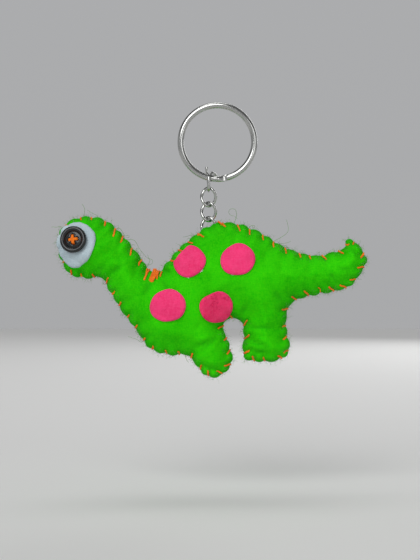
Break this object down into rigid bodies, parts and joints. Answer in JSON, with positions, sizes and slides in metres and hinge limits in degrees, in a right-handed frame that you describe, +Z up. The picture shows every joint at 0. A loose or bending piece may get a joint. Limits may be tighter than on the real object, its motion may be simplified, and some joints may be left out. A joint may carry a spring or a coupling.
{
  "type": "plush keychain",
  "caption": "Stuffed felt long-neck dinosaur with whip-stitched edge, felt spots and a button eye, on a short curb chain and a split key ring.",
  "frame": {"origin": "centre of the key ring", "axes": "+X towards the toy's tail, -Y the decorated front of the toy and along the ring's axis, +Z up with the chain hanging plumb"},
  "size_m": [0.1161, 0.0248, 0.1035],
  "materials": {
    "nickel": "bright nickel-plated steel",
    "body_felt": "soft needled felt, bright green",
    "spot_felt": "soft needled felt, hot pink",
    "eye_felt": "soft needled felt, cool white",
    "floss": "twisted cotton embroidery floss, orange",
    "fibrefill": "loose polyester fibre stuffing",
    "glue": "dried craft glue film",
    "button_plastic": "glossy black resin"
  },
  "bodies": {
    "ring": {"key_ring": "nickel"},
    "connector": {"connector_link": "nickel"},
    "upper": {"upper_link": "nickel"},
    "lower": {"lower_link": "nickel"},
    "toy": {"sewn_link": "nickel", "front_panel": "body_felt", "back_panel": "body_felt", "stuffing": "fibrefill", "seam_stitches": "floss", "valley_wraps": "floss", "link_lashing": "floss", "spot_shoulder": "spot_felt", "spot_rump": "spot_felt", "spot_chest": "spot_felt", "spot_belly": "spot_felt", "spot_glue": "glue", "eye_disc": "eye_felt", "eye_glue": "glue", "button": "button_plastic", "button_thread": "floss", "thread_knots": "floss"}
  },
  "joints": [
    {"name": "connector_swing", "type": "hinge", "parent": "ring", "child": "connector", "pos_m": [-0.0033, 0, -0.01369], "axis": [1, 0, 0], "range_deg": [-75, 75]},
    {"name": "upper_link_sway", "type": "hinge", "parent": "connector", "child": "upper", "pos_m": [-0.0033, 0, -0.01845], "axis": [0, 1, 0], "range_deg": [-30, 30]},
    {"name": "lower_link_swing", "type": "hinge", "parent": "upper", "child": "lower", "pos_m": [-0.0033, 0, -0.02401], "axis": [0.8192, 0.5736, 0], "range_deg": [-25, 30]},
    {"name": "toy_swing", "type": "hinge", "parent": "lower", "child": "toy", "pos_m": [-0.0033, 0, -0.02957], "axis": [0.8192, 0.5736, 0], "range_deg": [-25, 30]}
  ]
}
